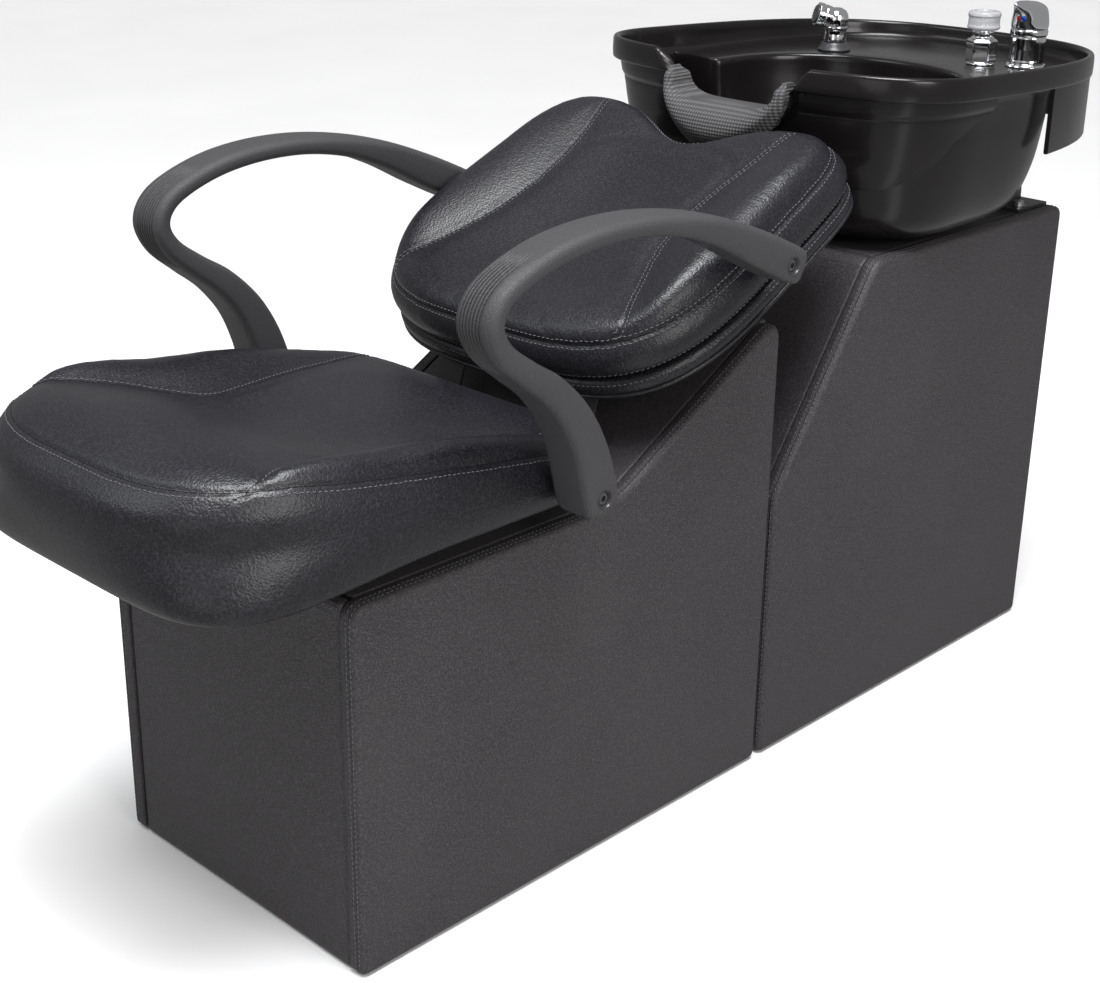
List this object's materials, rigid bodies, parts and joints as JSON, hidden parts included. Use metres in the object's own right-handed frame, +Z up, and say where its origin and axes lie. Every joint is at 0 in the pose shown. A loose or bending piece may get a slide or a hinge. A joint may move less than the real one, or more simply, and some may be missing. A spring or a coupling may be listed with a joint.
{
  "type": "shampoo backwash unit",
  "caption": "Salon backwash chair: padded reclined seat and backrest with looped armrests on a low base, joined to a pedestal with a deep tilting basin, neck rest, mixer tap and hand spray.",
  "frame": {"origin": "on the floor, at the centre of the overall footprint", "axes": "+Z up; +Y runs from the seat to the basin, so the sitter faces -Y; +X is the sitter's left"},
  "size_m": [0.5968, 1.6424, 0.9174],
  "materials": {
    "panel": "satin black vinyl over a padded board",
    "vinyl": "satin black vinyl, fine pebble grain",
    "moulded_pu": "matte self-skinned polyurethane",
    "bowl_plastic": "glossy black ABS",
    "gel_rubber": "grey moulded rubber with a woven texture",
    "chrome_plate": "polished",
    "zinc_steel": "zinc plated, satin",
    "black_paint": "satin black",
    "plywood": "raw plywood",
    "foot_rubber": "matte",
    "dark_plastic": "semi-matte",
    "cap_plastic": "smooth, light grey",
    "brass_nut": "machined",
    "dot_red": "glossy"
  },
  "bodies": {
    "base": {"front_side_panel_L": "panel", "front_side_panel_R": "panel", "front_face_panel": "panel", "front_rear_panel": "panel", "front_top_board": "panel", "front_slope_panel": "panel", "front_carcass": "plywood", "front_glide_L": "foot_rubber", "front_glide_R": "foot_rubber", "rear_side_panel_L": "panel", "rear_side_panel_R": "panel", "rear_front_panel": "panel", "rear_slant_panel": "panel", "rear_top_panel": "panel", "rear_access_panel": "panel", "rear_carcass": "plywood", "rear_glide_L": "foot_rubber", "rear_glide_R": "foot_rubber", "slide_rails": "zinc_steel", "base_tie_bar": "black_paint", "bowl_mount_base": "black_paint", "mount_bolt_L": "zinc_steel", "mount_bolt_R": "zinc_steel", "tilt_pin": "zinc_steel"},
    "seat": {"seat_runners": "zinc_steel", "seat_board": "plywood", "seat_cushion": "vinyl", "backrest_cushion": "vinyl", "backrest_shell": "panel", "back_bracket": "black_paint", "armrest_L": "moulded_pu", "armrest_R": "moulded_pu", "arm_bolt_foot_L": "zinc_steel", "arm_bolt_foot_R": "zinc_steel", "arm_bolt_rear_L": "zinc_steel", "arm_bolt_rear_R": "zinc_steel"},
    "bowl": {"tilt_bracket": "black_paint", "bowl_shell": "bowl_plastic", "neck_rest": "gel_rubber", "drain_flange": "chrome_plate", "drain_locknut": "dark_plastic", "drain_tailpiece": "dark_plastic", "tap_base_flange": "chrome_plate", "tap_body": "chrome_plate", "tap_locknut": "brass_nut", "breaker_hex_body": "chrome_plate", "breaker_stem": "brass_nut", "breaker_neck": "chrome_plate", "breaker_locknut": "brass_nut", "breaker_cap": "cap_plastic", "spray_holder": "dark_plastic", "spray_locknut": "dark_plastic"},
    "tap_collar_body": {"tap_collar": "chrome_plate"},
    "tap_lever_body": {"tap_lever": "chrome_plate", "tap_dot": "dot_red"},
    "sprayer": {"spray_head": "chrome_plate", "spray_face": "dark_plastic"},
    "strainer": {"strainer_basket": "chrome_plate"}
  },
  "joints": [
    {"name": "seat_slide", "type": "slide", "parent": "base", "child": "seat", "axis": [0, -1, 0], "range_m": [0, 0.12]},
    {"name": "bowl_tilt", "type": "hinge", "parent": "base", "child": "bowl", "pos_m": [0, 0.65925, 0.712], "axis": [-1, 0, 0], "range_deg": [0, 12]},
    {"name": "tap_swivel", "type": "hinge", "parent": "bowl", "child": "tap_collar_body", "pos_m": [0.142, 0.68425, 0.87], "axis": [0, 0, 1], "range_deg": [-45, 45]},
    {"name": "tap_lift", "type": "hinge", "parent": "tap_collar_body", "child": "tap_lever_body", "pos_m": [0.142, 0.7088, 0.8753], "axis": [-1, 0, 0], "range_deg": [0, 20]},
    {"name": "sprayer_lift", "type": "slide", "parent": "bowl", "child": "sprayer", "axis": [0, 0, 1], "range_m": [0, 0.15]},
    {"name": "strainer_lift", "type": "slide", "parent": "bowl", "child": "strainer", "axis": [0, 0, 1], "range_m": [0, 0.06]}
  ]
}
